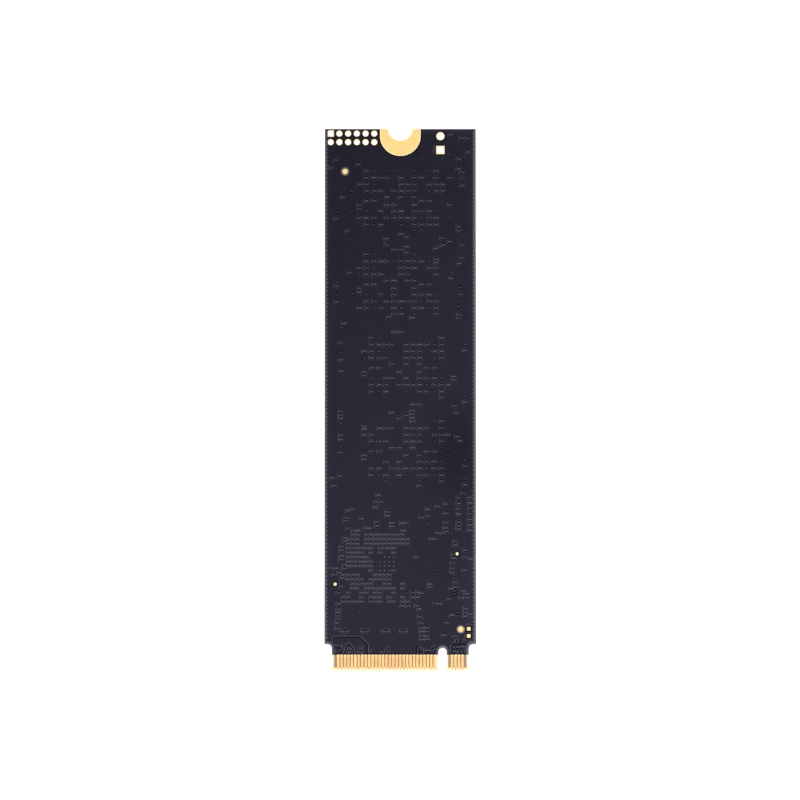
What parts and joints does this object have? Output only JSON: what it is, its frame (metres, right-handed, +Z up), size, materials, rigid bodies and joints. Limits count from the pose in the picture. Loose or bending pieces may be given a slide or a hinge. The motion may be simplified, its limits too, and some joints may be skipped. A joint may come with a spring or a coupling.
{
  "type": "solid state drive",
  "caption": "Bare solid state drive: a narrow dark board with a keyed gold edge connector at one end and a plated half-round screw notch at the other, lying on its chips.",
  "frame": {"origin": "centre of the board's length and width, at the level of the memory packages' tops, which the drive lies on", "axes": "+Y along the board from the contacts to the screw notch, +Z up out of the bare face, +X to the side of the key notch"},
  "size_m": [0.022, 0.08, 0.0021],
  "materials": {
    "laminate": "glass-fibre epoxy, brown at the cut edges and on the tongue",
    "gold_plating": "thin gold over nickel on copper, satin to bright",
    "solder_mask": "near-black ink with a slight violet tint, semi-gloss",
    "package_epoxy": "black moulding compound, fine matt grain",
    "inductor_body": "pressed iron powder, dark grey, matt",
    "capacitor_body": "tan ceramic with tinned ends",
    "crystal_lid": "plated metal lid on a ceramic tray"
  },
  "bodies": {
    "root": {"laminate": "laminate", "back_copper": "gold_plating", "front_copper": "gold_plating", "back_solder_mask": "solder_mask", "front_solder_mask": "solder_mask", "screw_notch_plating": "gold_plating", "header_eyelet_01": "gold_plating", "header_eyelet_02": "gold_plating", "header_eyelet_03": "gold_plating", "header_eyelet_04": "gold_plating", "header_eyelet_05": "gold_plating", "header_eyelet_06": "gold_plating", "header_eyelet_07": "gold_plating", "header_eyelet_08": "gold_plating", "header_eyelet_09": "gold_plating", "header_eyelet_10": "gold_plating", "header_eyelet_11": "gold_plating", "header_eyelet_12": "gold_plating", "jumper_eyelet_round": "gold_plating", "jumper_eyelet_square": "gold_plating", "fiducial_upper": "gold_plating", "fiducial_lower": "gold_plating", "test_pad_left": "gold_plating", "test_pad_right": "gold_plating", "chip_land_1": "gold_plating", "chip_land_2": "gold_plating", "nand_1": "package_epoxy", "nand_2": "package_epoxy", "nand_3": "package_epoxy", "nand_4": "package_epoxy", "controller": "package_epoxy", "power_manager": "package_epoxy", "load_switch": "package_epoxy", "crystal": "crystal_lid", "inductor_1": "inductor_body", "inductor_2": "inductor_body", "inductor_3": "inductor_body", "rail_capacitor_1": "capacitor_body", "rail_capacitor_2": "capacitor_body", "rail_capacitor_3": "capacitor_body", "nand_capacitor_1_left": "capacitor_body", "nand_capacitor_1_right": "capacitor_body", "nand_capacitor_2_left": "capacitor_body", "nand_capacitor_2_right": "capacitor_body", "nand_capacitor_3_left": "capacitor_body", "nand_capacitor_3_right": "capacitor_body", "nand_capacitor_4_left": "capacitor_body", "nand_capacitor_4_right": "capacitor_body", "lane_capacitor_1": "capacitor_body", "lane_capacitor_2": "capacitor_body", "lane_capacitor_3": "capacitor_body", "lane_capacitor_4": "capacitor_body", "lane_capacitor_5": "capacitor_body", "lane_capacitor_6": "capacitor_body", "lane_capacitor_7": "capacitor_body", "lane_capacitor_8": "capacitor_body"}
  },
  "joints": []
}
